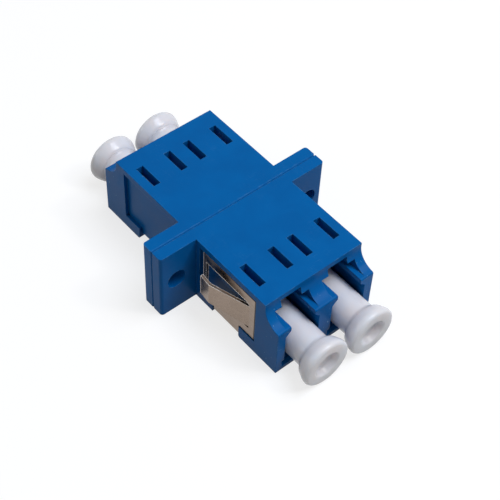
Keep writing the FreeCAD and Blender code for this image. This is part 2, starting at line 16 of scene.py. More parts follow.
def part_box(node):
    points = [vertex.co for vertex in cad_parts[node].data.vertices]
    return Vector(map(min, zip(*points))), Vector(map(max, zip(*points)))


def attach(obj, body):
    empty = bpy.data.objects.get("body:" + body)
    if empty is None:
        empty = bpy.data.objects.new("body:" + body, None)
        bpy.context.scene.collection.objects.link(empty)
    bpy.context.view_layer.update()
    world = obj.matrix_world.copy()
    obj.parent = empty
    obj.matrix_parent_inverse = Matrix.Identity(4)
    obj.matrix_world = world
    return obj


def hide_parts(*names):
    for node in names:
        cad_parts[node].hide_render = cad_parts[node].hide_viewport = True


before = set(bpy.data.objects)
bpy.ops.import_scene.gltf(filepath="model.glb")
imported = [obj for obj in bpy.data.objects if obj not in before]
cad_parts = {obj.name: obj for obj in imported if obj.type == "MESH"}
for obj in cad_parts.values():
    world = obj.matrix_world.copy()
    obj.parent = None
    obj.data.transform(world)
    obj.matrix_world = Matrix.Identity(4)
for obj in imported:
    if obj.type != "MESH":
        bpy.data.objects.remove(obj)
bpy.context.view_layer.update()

LOG = logging.getLogger("adapter")
MM = 0.001
WHITE = (1.0, 1.0, 1.0, 1.0)
BLACK = (0.0, 0.0, 0.0, 1.0)
Colour = tuple[float, float, float]

# Numbers of a Mix node's colour sockets, which share their names with its other sockets.
MIX_FIRST, MIX_SECOND, MIX_RESULT = 6, 7, 2

# A screen's colour curve: straight up to the knee, and a power above it.
CURVE_KNEE, CURVE_SLOPE, CURVE_LIFT, CURVE_POWER = 0.04045, 12.92, 0.055, 2.4

# Where a mask starts and where it is full, on the scale of what it is made from.
SCRATCH_EDGE = (0.66, 0.74)
SCRATCH_PATCH = (0.5, 0.68)
EDGE_TURN = (0.995, 0.9)
WEAR_PATCH = (0.42, 0.62)
GAP_CLOSING = (0.62, 0.25)
SHEEN_SPREAD = (0.3, 0.7)

# How each of the two runs of scratches is turned, and how it is stretched.
SCRATCH_RUNS = (((0.3, 0.5, 0.7), (1.0, 0.06, 1.0)), ((1.1, 0.2, 2.2), (0.05, 1.0, 1.0)))


class Half(Enum):
    """Which half of the adapter a piece is on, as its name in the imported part."""

    FRONT = "front"
    REAR = "rear"

    @property
    def sign(self) -> float:
        """Sign of the half's Y coordinates."""
        return -1.0 if self is Half.FRONT else 1.0


class Lane(Enum):
    """Which of the two ports a piece belongs to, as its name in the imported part."""

    LEFT = "left"
    RIGHT = "right"


def linear(colour: Colour) -> tuple[float, float, float, float]:
    """Turn a display colour into the scene's linear colour.

    Args:
        colour: Red, green and blue from 0 to 255, as a screen shows them.

    Returns:
        Linear red, green and blue from 0 to 1, and an alpha of 1.
    """
    parts = [c / 255.0 for c in colour]
    red, green, blue = [
        c / CURVE_SLOPE if c <= CURVE_KNEE
        else ((c + CURVE_LIFT) / (1.0 + CURVE_LIFT)) ** CURVE_POWER
        for c in parts
    ]
    return (red, green, blue, 1.0)


class Wiring:
    """Adds nodes to one tree and joins them."""

    def __init__(self, tree: bpy.types.NodeTree) -> None:
        """Take the tree that the nodes go in."""
        self.tree = tree

    def add(
        self,
        kind: str,
        inputs: dict[str | int, object] | None = None,
        **settings: object,
    ) -> bpy.types.Node:
        """Add one node.

        Args:
            kind: The node's Blender type name.
            inputs: Value, socket or node for each input, by the input's name or number.
            settings: The node's own properties.

        Returns:
            The new node.
        """
        node = self.tree.nodes.new(kind)
        for name, value in settings.items():
            setattr(node, name, value)
        for key, value in (inputs or {}).items():
            self.feed(node.inputs[key], value)
        return node

    def feed(self, socket: bpy.types.NodeSocket, value: object) -> None:
        """Give an input its value, or link it to what gives the value.

        Args:
            socket: The input.
            value: A value, a socket, or a node whose first output is meant.
        """
        if isinstance(value, bpy.types.Node):
            value = value.outputs[0]
        if isinstance(value, bpy.types.NodeSocket):
            self.tree.links.new(value, socket)
        else:
            socket.default_value = value

    def maths(self, operation: str, *terms: object) -> bpy.types.NodeSocket:
        """Work out a number from one to three numbers, sockets or nodes."""
        node = self.add("ShaderNodeMath", dict(enumerate(terms)), operation=operation)
        return node.outputs[0]

    def tint(self, share: object, first: object, second: object) -> bpy.types.NodeSocket:
        """Mix two colours: the first at a share of 0, the second at a share of 1."""
        node = self.add("ShaderNodeMix", {0: share, MIX_FIRST: first, MIX_SECOND: second},
                        data_type="RGBA")
        return node.outputs[MIX_RESULT]

    def remap(
        self, value: object, low: float, high: float, to_low: float, to_high: float
    ) -> bpy.types.NodeSocket:
        """Stretch a number from one range to another, and keep it inside."""
        return self.add("ShaderNodeMapRange", {
            "Value": value, "From Min": low, "From Max": high,
            "To Min": to_low, "To Max": to_high}).outputs[0]


def effect_group(name: str, ports: dict[str, float], results: list[str]) -> bpy.types.NodeTree:
    """Start a shader node group with number inputs and outputs.

    Args:
        name: The group's name.
        ports: Its inputs and their usual values.
        results: Its outputs.

    Returns:
        The empty group with its sockets.
    """
    tree = bpy.data.node_groups.new(name, "ShaderNodeTree")
    for port, value in ports.items():
        socket = tree.interface.new_socket(port, in_out="INPUT", socket_type="NodeSocketFloat")
        socket.default_value = value
    for result in results:
        tree.interface.new_socket(result, in_out="OUTPUT", socket_type="NodeSocketFloat")
    return tree


@dataclass(frozen=True)
class SurfaceEffects:
    """The effects that several finishes share, each as one shader node group."""

    grain: bpy.types.NodeTree
    scuffs: bpy.types.NodeTree
    worn_and_highlit_edges: bpy.types.NodeTree
    painted_crevice_shade: bpy.types.NodeTree

    @staticmethod
    def build() -> "SurfaceEffects":
        """Make the four groups.

        Returns:
            The groups together.
        """
        return SurfaceEffects(
            grain=SurfaceEffects.make_grain(),
            scuffs=SurfaceEffects.make_scuffs(),
            worn_and_highlit_edges=SurfaceEffects.make_worn_and_highlit_edges(),
            painted_crevice_shade=SurfaceEffects.make_painted_crevice_shade(),
        )

    @staticmethod
    def make_grain() -> bpy.types.NodeTree:
        """Make the fine skin of a moulded or rolled surface, with slow waves under it.

        Returns:
            A group with a Height for a bump and a slow Tone, both from 0 to 1.
        """
        tree = effect_group("fine_grain", {"Fine Size": 0.1 * MM, "Slow Size": 3.0 * MM,
                                           "Waviness": 0.5}, ["Height", "Tone"])
        wires = Wiring(tree)
        ports = wires.add("NodeGroupInput").outputs
        place = wires.add("ShaderNodeTexCoord").outputs["Object"]
        fine = wires.add("ShaderNodeTexNoise", {
            "Vector": place, "Scale": wires.maths("DIVIDE", 1.0, ports["Fine Size"]),
            "Detail": 3.0, "Roughness": 0.6})
        slow = wires.add("ShaderNodeTexNoise", {
            "Vector": place, "Scale": wires.maths("DIVIDE", 1.0, ports["Slow Size"]),
            "Detail": 2.0, "Roughness": 0.5, "Distortion": 0.4})
        height = wires.maths("MULTIPLY_ADD", slow.outputs["Fac"], ports["Waviness"],
                             fine.outputs["Fac"])
        wires.add("NodeGroupOutput", {"Height": height, "Tone": slow.outputs["Fac"]})
        return tree

    @staticmethod
    def make_scuffs() -> bpy.types.NodeTree:
        """Make fine scratches that run in two directions, in patches.

        Returns:
            A group with a Mask that is 1 in a scratch.
        """
        tree = effect_group("handling_scuffs", {"Width": 0.06 * MM, "Patch Size": 3.0 * MM,
                                                "Amount": 0.4}, ["Mask"])
        wires = Wiring(tree)
        ports = wires.add("NodeGroupInput").outputs
        place = wires.add("ShaderNodeTexCoord").outputs["Object"]
        fineness = wires.maths("DIVIDE", 1.0, ports["Width"])
        lines = []
        for turn, stretch in SCRATCH_RUNS:
            laid = wires.add("ShaderNodeMapping", {"Vector": place, "Rotation": turn,
                                                   "Scale": stretch})
            noise = wires.add("ShaderNodeTexNoise", {"Vector": laid, "Scale": fineness,
                                                     "Detail": 1.0})
            lines.append(wires.remap(noise.outputs["Fac"], *SCRATCH_EDGE, 0.0, 1.0))
        patch = wires.add("ShaderNodeTexNoise", {
            "Vector": place, "Scale": wires.maths("DIVIDE", 1.0, ports["Patch Size"]),
            "Detail": 2.0})
        where = wires.remap(patch.outputs["Fac"], *SCRATCH_PATCH, 0.0, 1.0)
        both = wires.maths("MAXIMUM", lines[0], lines[1])
        mask = wires.maths("MULTIPLY", wires.maths("MULTIPLY", both, where), ports["Amount"])
        wires.add("NodeGroupOutput", {"Mask": mask})
        return tree

    @staticmethod
    def make_worn_and_highlit_edges() -> bpy.types.NodeTree:
        """Make the polish and whitening of handled edges, which also paints a pale edge
        highlight.

        Returns:
            A group with a Mask that is 1 on a rubbed, pale edge.
        """
        tree = effect_group("worn_and_highlit_edges", {"Radius": 0.1 * MM, "Patch Size": 0.8 * MM,
                                           "Amount": 0.5}, ["Mask"])
        wires = Wiring(tree)
        ports = wires.add("NodeGroupInput").outputs
        place = wires.add("ShaderNodeTexCoord").outputs["Object"]
        rounded = wires.add("ShaderNodeBevel", {"Radius": ports["Radius"]}, samples=4)
        plain = wires.add("ShaderNodeNewGeometry").outputs["Normal"]
        facing = wires.add("ShaderNodeVectorMath", {0: rounded, 1: plain},
                           operation="DOT_PRODUCT").outputs["Value"]
        edge = wires.remap(facing, *EDGE_TURN, 0.0, 1.0)
        patch = wires.add("ShaderNodeTexNoise", {
            "Vector": place, "Scale": wires.maths("DIVIDE", 1.0, ports["Patch Size"]),
            "Detail": 3.0})
        where = wires.remap(patch.outputs["Fac"], *WEAR_PATCH, 0.0, 1.0)
        mask = wires.maths("MULTIPLY", wires.maths("MULTIPLY", edge, where), ports["Amount"])
        wires.add("NodeGroupOutput", {"Mask": mask})
        return tree

    @staticmethod
    def make_painted_crevice_shade() -> bpy.types.NodeTree:
        """Make painted shade for gaps and inner corners, from how closed in each point is.

        Returns:
            A group with a Mask that is 1 where the painted shade is full.
        """
        tree = effect_group("painted_crevice_shade", {"Reach": 0.3 * MM, "Amount": 0.6}, ["Mask"])
        wires = Wiring(tree)
        ports = wires.add("NodeGroupInput").outputs
        open_share = wires.add("ShaderNodeAmbientOcclusion", {"Distance": ports["Reach"]},
                               samples=8).outputs["AO"]
        closed = wires.remap(open_share, *GAP_CLOSING, 0.0, 1.0)
        mask = wires.maths("MULTIPLY", closed, ports["Amount"])
        wires.add("NodeGroupOutput", {"Mask": mask})
        return tree


@dataclass(frozen=True)
class Finish:
    """What every finish has: the shared effects, and the ways to use them."""

    effects: SurfaceEffects

    def start(self, name: str) -> tuple[bpy.types.Material, Wiring, bpy.types.Node]:
        """Start a material with a Principled BSDF.

        Args:
            name: The material's name.

        Returns:
            The material, its wiring and its Principled BSDF.
        """
        material = bpy.data.materials.new(name)
        material.use_nodes = True
        wires = Wiring(material.node_tree)
        shader = next(n for n in material.node_tree.nodes if n.type == "BSDF_PRINCIPLED")
        return material, wires, shader

    def effect(
        self, wires: Wiring, group: bpy.types.NodeTree, **values: float
    ) -> dict[str, bpy.types.NodeSocket]:
        """Place a shared effect.

        Args:
            wires: The material's wiring.
            group: The effect's node group.
            values: Its inputs, with _ for a space in the input's name.

        Returns:
            The effect's outputs by name.
        """
        inputs = {name.replace("_", " "): value for name, value in values.items()}
        node = wires.add("ShaderNodeGroup", inputs, node_tree=group)
        return {socket.name: socket for socket in node.outputs}

    @staticmethod
    def tone(wires: Wiring, skin: dict[str, bpy.types.NodeSocket], spread: float = 0.15
             ) -> bpy.types.NodeSocket:
        """Stretch a grain's slow tone, from this far either side of its middle, over 0 to 1."""
        return wires.remap(skin["Tone"], 0.5 - spread, 0.5 + spread, 0.0, 1.0)

    @staticmethod
    def sheen(wires: Wiring, skin: dict[str, bpy.types.NodeSocket], first: float, last: float
              ) -> bpy.types.NodeSocket:
        """Let the roughness drift from the first to the last with a grain's slow tone."""
        return wires.remap(skin["Tone"], *SHEEN_SPREAD, first, last)

    def bump(self, wires: Wiring, height: object, distance: float, edge: float = 0.0
             ) -> bpy.types.NodeSocket:
        """Turn a height into a normal, over edges softened by a small radius.

        Args:
            wires: The material's wiring.
            height: The height's socket, from 0 to 1.
            distance: How high a height of 1 stands, in metres.
            edge: Radius that sharp edges look rounded by, in metres, or 0 for none.

        Returns:
            The normal's socket.
        """
        inputs: dict[str | int, object] = {"Height": height, "Strength": 1.0,
                                           "Distance": distance}
        if edge > 0.0:
            inputs["Normal"] = wires.add("ShaderNodeBevel", {"Radius": edge}, samples=6)
        return wires.add("ShaderNodeBump", inputs).outputs["Normal"]


@dataclass(frozen=True)
class HousingPlastic(Finish):
    """Blue moulded plastic with a fine satin skin."""

    slot: str = "housing_plastic"
    body_colour: Colour = (0, 92, 160)
    pale_colour: Colour = (0, 96, 165)
    # Pale blue of real scuffs and wear, also painted on edges and lips as highlights.
    wear_and_highlight_colour: Colour = (120, 172, 204)
    # Painted shade in gaps and inner corners.
    painted_shade_colour: Colour = (0, 22, 52)
    roughness: float = 0.36
    sheen_drift: float = 0.04
    mark_roughness: float = 0.2
    gloss: float = 0.05
    refraction: float = 1.55
    grain_depth: float = 0.003 * MM
    edge: float = 0.08 * MM
    lip_start: float = 12.2 * MM
    flecks_per_metre: float = 2600.0
    fleck_edge: tuple[float, float] = (0.7, 0.74)
    fleck_strength: float = 0.7

    def lip_glint_flecks(self, wires: Wiring) -> bpy.types.NodeSocket:
        """Find the small pale flecks on the lips of the two mouths: painted highlights that
        stand for glints.

        Args:
            wires: The material's wiring.

        Returns:
            A mask that is 1 in a fleck.
        """
        place = wires.add("ShaderNodeTexCoord").outputs["Object"]
        along = wires.add("ShaderNodeSeparateXYZ", {0: place}).outputs["Y"]
        lip = wires.maths("GREATER_THAN", wires.maths("ABSOLUTE", along), self.lip_start)
        spots = wires.add("ShaderNodeTexNoise", {
            "Vector": place, "Scale": self.flecks_per_metre, "Detail": 2.0,
            "Distortion": 0.6})
        fleck = wires.remap(spots.outputs["Fac"], *self.fleck_edge, 0.0, self.fleck_strength)
        return wires.maths("MULTIPLY", lip, fleck)

    def material(self) -> bpy.types.Material:
        """Build the material.

        Returns:
            The finished material.
        """
        material, wires, shader = self.start("blue_housing_plastic")
        skin = self.effect(wires, self.effects.grain, Fine_Size=0.12 * MM, Slow_Size=2.8 * MM,
                           Waviness=0.8)
        scuffs = self.effect(wires, self.effects.scuffs, Width=0.06 * MM, Patch_Size=3.5 * MM,
                             Amount=0.1)
        wear_and_highlight = self.effect(wires, self.effects.worn_and_highlit_edges, Radius=0.1 * MM, Patch_Size=0.6 * MM,
                           Amount=0.34)
        gap_shade = self.effect(wires, self.effects.painted_crevice_shade, Reach=0.5 * MM, Amount=0.9)
        colour = wires.tint(self.tone(wires, skin), linear(self.body_colour),
                            linear(self.pale_colour))
        # Real scuffs and edge wear, with a painted edge highlight and painted glints on the
        # lips, all tinted one pale blue.
        marks_and_painted_light = wires.maths("MAXIMUM", scuffs["Mask"], wear_and_highlight["Mask"])
        marks_and_painted_light = wires.maths("MAXIMUM", marks_and_painted_light, self.lip_glint_flecks(wires))
        colour = wires.tint(marks_and_painted_light, colour, linear(self.wear_and_highlight_colour))
        # Painted shade: the blue turns darker in gaps and inner corners.
        colour = wires.tint(gap_shade["Mask"], colour, linear(self.painted_shade_colour))
        rough = wires.maths("MULTIPLY_ADD", marks_and_painted_light, self.mark_roughness,
                            self.sheen(wires, skin, self.roughness - self.sheen_drift,
                                       self.roughness + self.sheen_drift))
        wires.feed(shader.inputs["Base Color"], colour)
        wires.feed(shader.inputs["Roughness"], rough)
        wires.feed(shader.inputs["Normal"],
                   self.bump(wires, skin["Height"], self.grain_depth, self.edge))
        shader.inputs["Specular IOR Level"].default_value = self.gloss
        shader.inputs["IOR"].default_value = self.refraction
        return material


@dataclass(frozen=True)
class SpringSteel(Finish):
    """Bright rolled stainless strip, with the grain of the roll and shaded margins."""

    slot: str = "spring_steel"
    strip_colour: Colour = (156, 138, 124)
    dull_colour: Colour = (133, 117, 104)
    # Painted shade in gaps and along the margins in the recess.
    painted_shade_colour: Colour = (22, 18, 18)
    roughness: float = 0.28
    smoother: float = 0.06
    rougher: float = 0.08
    scuff_roughness: float = 0.25
    grain_along: float = 0.5
    grain_depth: float = 0.0018 * MM
    roll_stretch: float = 0.04
    roll_lines_per_metre: float = 22000.0
    roll_spread: tuple[float, float] = (0.35, 0.65)
    roll_least: float = 0.4
    roll_depth: float = 0.5
    edge: float = 0.04 * MM
    mouth_margin: float = 0.17 * MM
    top_margin: float = 0.13 * MM
    margin_blend: float = 0.02 * MM
    # The top margin fades in along the strip, between these places from its mouth end.
    top_margin_starts: float = 6.35 * MM
    top_margin_full: float = 1.85 * MM

    def recess_shade(self, wires: Wiring) -> bpy.types.NodeSocket:
        """Find the strip's margins that lie in the shade of its recess.

        Args:
            wires: The material's wiring.

        Returns:
            A mask that is 1 along the mouth end and along most of the upper edge.
        """
        place = wires.add("ShaderNodeTexCoord").outputs["Object"]
        apart = wires.add("ShaderNodeSeparateXYZ", {0: place}).outputs
        low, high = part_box("panel_clip")
        inner, upper = low.y + self.mouth_margin, high.z - self.top_margin
        mouth = wires.remap(apart["Y"], inner, inner - self.margin_blend, 0.0, 1.0)
        top = wires.remap(apart["Z"], upper, upper + self.margin_blend, 0.0, 1.0)
        reach = wires.remap(apart["Y"], low.y + self.top_margin_starts,
                            low.y + self.top_margin_full, 0.0, 1.0)
        return wires.maths("MAXIMUM", mouth, wires.maths("MULTIPLY", top, reach))

    def material(self) -> bpy.types.Material:
        """Build the material.

        Returns:
            The finished material.
        """
        material, wires, shader = self.start("rolled_spring_steel")
        skin = self.effect(wires, self.effects.grain, Fine_Size=0.09 * MM, Slow_Size=1.6 * MM,
                           Waviness=1.5)
        scuffs = self.effect(wires, self.effects.scuffs, Width=0.04 * MM, Patch_Size=1.5 * MM,
                             Amount=0.8)
        place = wires.add("ShaderNodeTexCoord").outputs["Object"]
        drawn = wires.add("ShaderNodeMapping", {
            "Vector": place, "Scale": (1.0, self.roll_stretch, 1.0)})
        lines = wires.add("ShaderNodeTexNoise", {
            "Vector": drawn, "Scale": self.roll_lines_per_metre,
            "Detail": 2.0}).outputs["Fac"]
        tone = wires.maths("MULTIPLY", wires.remap(lines, *self.roll_spread, 0.0, 1.0),
                           wires.remap(skin["Tone"], *self.roll_spread, self.roll_least, 1.0))
        colour = wires.tint(tone, linear(self.dull_colour), linear(self.strip_colour))
        gap_shade = self.effect(wires, self.effects.painted_crevice_shade, Reach=0.9 * MM, Amount=1.0)
        # Painted shade: the strip darkens in its gaps and along its margins in the recess.
        painted_shade_mask = wires.maths("MAXIMUM", gap_shade["Mask"], self.recess_shade(wires))
        colour = wires.tint(painted_shade_mask, colour, linear(self.painted_shade_colour))
        height = wires.maths("MULTIPLY_ADD", lines, self.roll_depth, skin["Height"])
        rough = wires.maths("MULTIPLY_ADD", scuffs["Mask"], self.scuff_roughness,
                            self.sheen(wires, skin, self.roughness - self.smoother,
                                       self.roughness + self.rougher))
        wires.feed(shader.inputs["Base Color"], colour)
        wires.feed(shader.inputs["Roughness"], rough)
        wires.feed(shader.inputs["Normal"],
                   self.bump(wires, height, self.grain_depth, self.edge))
        shader.inputs["Metallic"].default_value = 1.0
        shader.inputs["Anisotropic"].default_value = self.grain_along
        return material


@dataclass(frozen=True)
class ShearedSteel(Finish):
    """Bright burnished edge where the spring strip was sheared, pale and half metal so that its
    colour also paints the edge's highlight.
    """

    slot: str = "spring_steel"
    # Near-white, so that the colour also paints the cut edge's highlight.
    burnish_and_highlight_colour: Colour = (246, 242, 238)
    dull_colour: Colour = (206, 194, 184)
    roughness: float = 0.24
    rougher: float = 0.12
    metal: float = 0.45
    tone_spread: float = 0.1
    grain_depth: float = 0.002 * MM

    def material(self) -> bpy.types.Material:
        """Build the material.

        Returns:
            The finished material.
        """
        material, wires, shader = self.start("sheared_edge_steel")
        skin = self.effect(wires, self.effects.grain, Fine_Size=0.08 * MM, Slow_Size=0.9 * MM,
                           Waviness=1.0)
        wires.feed(shader.inputs["Base Color"],
                   wires.tint(self.tone(wires, skin, self.tone_spread),
                              linear(self.dull_colour), linear(self.burnish_and_highlight_colour)))
        wires.feed(shader.inputs["Roughness"],
                   self.sheen(wires, skin, self.roughness + self.rougher, self.roughness))
        wires.feed(shader.inputs["Normal"],
                   self.bump(wires, skin["Height"], self.grain_depth))
        shader.inputs["Metallic"].default_value = self.metal
        return material


@dataclass(frozen=True)
class ZirconiaCeramic(Finish):
    """White polished zirconia of the ferrule sleeves."""

    slot: str = "zirconia"
    body_colour: Colour = (232, 230, 222)
    shade_colour: Colour = (214, 212, 203)
    roughness: float = 0.16
    rougher: float = 0.06
    refraction: float = 2.1
    grain_depth: float = 0.0003 * MM

    def material(self) -> bpy.types.Material:
        """Build the material.

        Returns:
            The finished material.
        """
        material, wires, shader = self.start("polished_zirconia")
        skin = self.effect(wires, self.effects.grain, Fine_Size=0.05 * MM, Slow_Size=1.0 * MM,
                           Waviness=0.3)
        wires.feed(shader.inputs["Base Color"],
                   wires.tint(self.tone(wires, skin), linear(self.body_colour),
                              linear(self.shade_colour)))
        wires.feed(shader.inputs["Roughness"],
                   self.sheen(wires, skin, self.roughness, self.roughness + self.rougher))
        wires.feed(shader.inputs["Normal"],
                   self.bump(wires, skin["Height"], self.grain_depth))
        shader.inputs["IOR"].default_value = self.refraction
        return material


@dataclass(frozen=True)
class CapPlastic(Finish):
    """Milky soft plastic of the dust caps."""

    slot: str = "cap_plastic"
    body_colour: Colour = (225, 226, 233)
    warm_colour: Colour = (229, 225, 228)
    # Grey of real scuffs, also painted into creases as shade.
    scuff_and_shade_colour: Colour = (188, 181, 176)
    roughness: float = 0.19
    smoother: float = 0.05
    rougher: float = 0.06
    grain_depth: float = 0.004 * MM
    depth: float = 1.8 * MM
    milk: float = 0.85
    milk_reach: Colour = (1.0, 0.9, 0.85)

    def material(self) -> bpy.types.Material:
        """Build the material.

        Returns:
            The finished material.
        """
        material, wires, shader = self.start("milky_cap_plastic")
        skin = self.effect(wires, self.effects.grain, Fine_Size=0.22 * MM, Slow_Size=2.2 * MM,
                           Waviness=1.4)
        scuffs = self.effect(wires, self.effects.scuffs, Width=0.06 * MM, Patch_Size=1.6 * MM,
                             Amount=0.3)
        colour = wires.tint(self.tone(wires, skin), linear(self.body_colour),
                            linear(self.warm_colour))
        gap_shade = self.effect(wires, self.effects.painted_crevice_shade, Reach=0.4 * MM, Amount=0.05)
        # Real scuffs, with painted shade in the creases.
        marks_and_painted_light = wires.maths("MAXIMUM", scuffs["Mask"], gap_shade["Mask"])
        colour = wires.tint(marks_and_painted_light, colour, linear(self.scuff_and_shade_colour))
        wires.feed(shader.inputs["Base Color"], colour)
        wires.feed(shader.inputs["Roughness"],
                   self.sheen(wires, skin, self.roughness - self.smoother,
                              self.roughness + self.rougher))
        wires.feed(shader.inputs["Normal"],
                   self.bump(wires, skin["Height"], self.grain_depth))
        shader.inputs["Subsurface Weight"].default_value = self.milk
        shader.inputs["Subsurface Radius"].default_value = self.milk_reach
        shader.inputs["Subsurface Scale"].default_value = self.depth
        return material


def dress_node(name: str, finish: bpy.types.Material) -> None:
    """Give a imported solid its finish.

    Args:
        name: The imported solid.
        finish: Its material.
    """
    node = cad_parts[name]
    node.data.materials.clear()
    node.data.materials.append(finish)
    LOG.info("%s: packed solid with its own finish", name)


def place_piece(mesh: bpy.types.Mesh, name: str, body: str, slot: str, *stands_for: str
                ) -> bpy.types.Object:
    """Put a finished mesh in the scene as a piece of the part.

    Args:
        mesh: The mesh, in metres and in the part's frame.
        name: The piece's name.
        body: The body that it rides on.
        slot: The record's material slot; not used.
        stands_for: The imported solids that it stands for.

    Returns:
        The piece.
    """
    piece = bpy.data.objects.new(name, mesh)
    bpy.context.scene.collection.objects.link(piece)
    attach(piece, body)
    if stands_for:
        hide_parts(*stands_for)
    LOG.info("%s: %d faces, rides on %s", name, len(mesh.polygons), body)
    return piece


def start_tree(name: str, sizes: list[str], places: tuple[str, ...] = ()
               ) -> bpy.types.NodeTree:
    """Start a geometry node tree that takes a geometry, its sizes and a finish.

    Args:
        name: The tree's name.
        sizes: Names of its number inputs.
        places: Names of its vector inputs.

    Returns:
        The empty tree with its sockets.
    """
    tree = bpy.data.node_groups.new(name, "GeometryNodeTree")
    face = tree.interface
    face.new_socket("Geometry", in_out="INPUT", socket_type="NodeSocketGeometry")
    for size in sizes:
        face.new_socket(size, in_out="INPUT", socket_type="NodeSocketFloat")
    for place in places:
        face.new_socket(place, in_out="INPUT", socket_type="NodeSocketVector")
    face.new_socket("Finish", in_out="INPUT", socket_type="NodeSocketMaterial")
    face.new_socket("Geometry", in_out="OUTPUT", socket_type="NodeSocketGeometry")
    return tree


def end_tree(wires: Wiring, shape: object, finish: bpy.types.NodeSocket) -> bpy.types.NodeTree:
    """End a geometry node tree: smooth, made real and in its finish.

    Args:
        wires: The tree's wiring.
        shape: The finished geometry.
        finish: The tree's input for its finish.

    Returns:
        The finished tree.
    """
    smooth = wires.add("GeometryNodeSetShadeSmooth", {"Geometry": shape})
    real = wires.add("GeometryNodeRealizeInstances", {"Geometry": smooth})
    dressed = wires.add("GeometryNodeSetMaterial", {"Geometry": real, "Material": finish})
    wires.add("NodeGroupOutput", {"Geometry": dressed})
    return wires.tree


@dataclass
class CapTurning:
    """The geometry node tree that turns a dust cap round its own axis."""

    corners: tuple[tuple[str, str, str], ...] = (
        # radius, distance from the seam, rounding
        ("Zero", "Bore End", "Zero"),
        ("Bore Radius", "Bore End", "Crease"),
        ("Bore Radius", "Barrel End", "Crease"),
        ("Barrel Radius", "Barrel End", "End Rounding"),
        ("Barrel Radius", "Neck", "Neck Rounding"),
        ("Dome Radius", "Dome Start", "Dome Rounding"),
        ("Head Radius", "Shoulder", "Back Rounding"),
        ("Head Radius", "Face", "Rim Rounding"),
        ("Dish Radius", "Face", "Dish Rounding"),
        ("Dish Floor Radius", "Dish Floor", "Floor Rounding"),
        ("Zero", "Dish Floor", "Zero"),
    )
    segments: int = 96
    fillet_points: int = 7
    weld: float = 0.002 * MM

    def build(self) -> bpy.types.NodeTree:
        """Make the tree, with a named input for each of the cap's sizes.

        Returns:
            The tree: profile corners, roundings, a turn round the axis, and the place.
        """
        sizes = sorted({n for corner in self.corners for n in corner} - {"Zero"})
        wires = Wiring(start_tree("turned_dust_cap", sizes + ["Half Turn"], ("Axis Place",)))
        ports = wires.add("NodeGroupInput").outputs
        count = len(self.corners)
        line = wires.add("GeometryNodeMeshLine", {"Count": count})
        rail = wires.add("GeometryNodeMeshToCurve", {"Mesh": line})
        index = wires.add("GeometryNodeInputIndex")
        spot = self.switch(wires, "VECTOR", index, [
            wires.add("ShaderNodeCombineXYZ", {
                "X": self.term(ports, radius), "Y": self.term(ports, along)}).outputs[0]
            for radius, along, _ in self.corners])
        bend = self.switch(wires, "FLOAT", index,
                           [self.term(ports, rounding) for _, _, rounding in self.corners])
        corners = wires.add("GeometryNodeSetPosition", {"Geometry": rail, "Position": spot})
        rounded = wires.add("GeometryNodeFilletCurve",
                            {"Curve": corners, "Count": self.fillet_points, "Radius": bend},
                            mode="POLY")
        return self.turn(wires, ports, rounded)

    @staticmethod
    def term(ports: object, name: str) -> object:
        """Return the named input's socket, or plain zero."""
        return 0.0 if name == "Zero" else ports[name]

    @staticmethod
    def switch(wires: Wiring, kind: str, index: object, values: list[object]
               ) -> bpy.types.NodeSocket:
        """Choose one of several values by a point's number.

        Args:
            wires: The tree's wiring.
            kind: What is chosen, FLOAT or VECTOR.
            index: The point's number.
            values: One value for each number.

        Returns:
            The chosen value's socket.
        """
        node = wires.add("GeometryNodeIndexSwitch", data_type=kind)
        while len(node.index_switch_items) < len(values):
            node.index_switch_items.new()
        wires.feed(node.inputs["Index"], index)
        for number, value in enumerate(values):
            wires.feed(node.inputs[1 + number], value)
        return node.outputs[0]

    def turn(self, wires: Wiring, ports: object, profile: object) -> bpy.types.NodeTree:
        """Turn the profile round the axis, and put the result in its place.

        Args:
            wires: The tree's wiring.
            ports: The tree's inputs.
            profile: The rounded profile, X across and Y along the axis.

        Returns:
            The finished tree.
        """
        points = wires.add("GeometryNodeAttributeDomainSize", {"Geometry": profile},
                           component="CURVE").outputs["Point Count"]
        grid = wires.add("GeometryNodeMeshGrid", {
            "Size X": 1.0, "Size Y": 1.0, "Vertices X": points,
            "Vertices Y": self.segments + 1})
        index = wires.add("GeometryNodeInputIndex").outputs[0]
        row = wires.maths("FLOOR", wires.maths("DIVIDE", index, float(self.segments + 1)))
        column = wires.maths("SUBTRACT", index,
                             wires.maths("MULTIPLY", row, float(self.segments + 1)))
        position = wires.add("GeometryNodeInputPosition")
        sample = wires.add("GeometryNodeSampleIndex",
                           {"Geometry": profile, "Value": position, "Index": row},
                           data_type="FLOAT_VECTOR", domain="POINT")
        apart = wires.add("ShaderNodeSeparateXYZ", {0: sample})
        angle = wires.maths("MULTIPLY", column, 2.0 * math.pi / self.segments)
        ring = wires.add("ShaderNodeCombineXYZ", {
            "X": wires.maths("MULTIPLY", apart.outputs["X"], wires.maths("COSINE", angle)),
            "Y": apart.outputs["Y"],
            "Z": wires.maths("MULTIPLY", apart.outputs["X"], wires.maths("SINE", angle))})
        shell = wires.add("GeometryNodeSetPosition", {"Geometry": grid, "Position": ring})
        closed = wires.add("GeometryNodeMergeByDistance",
                           {"Geometry": shell, "Distance": self.weld})
        turned = wires.add("ShaderNodeCombineXYZ", {"Z": ports["Half Turn"]})
        placed = wires.add("GeometryNodeTransform", {
            "Geometry": closed, "Translation": ports["Axis Place"], "Rotation": turned})
        return end_tree(wires, placed, ports["Finish"])


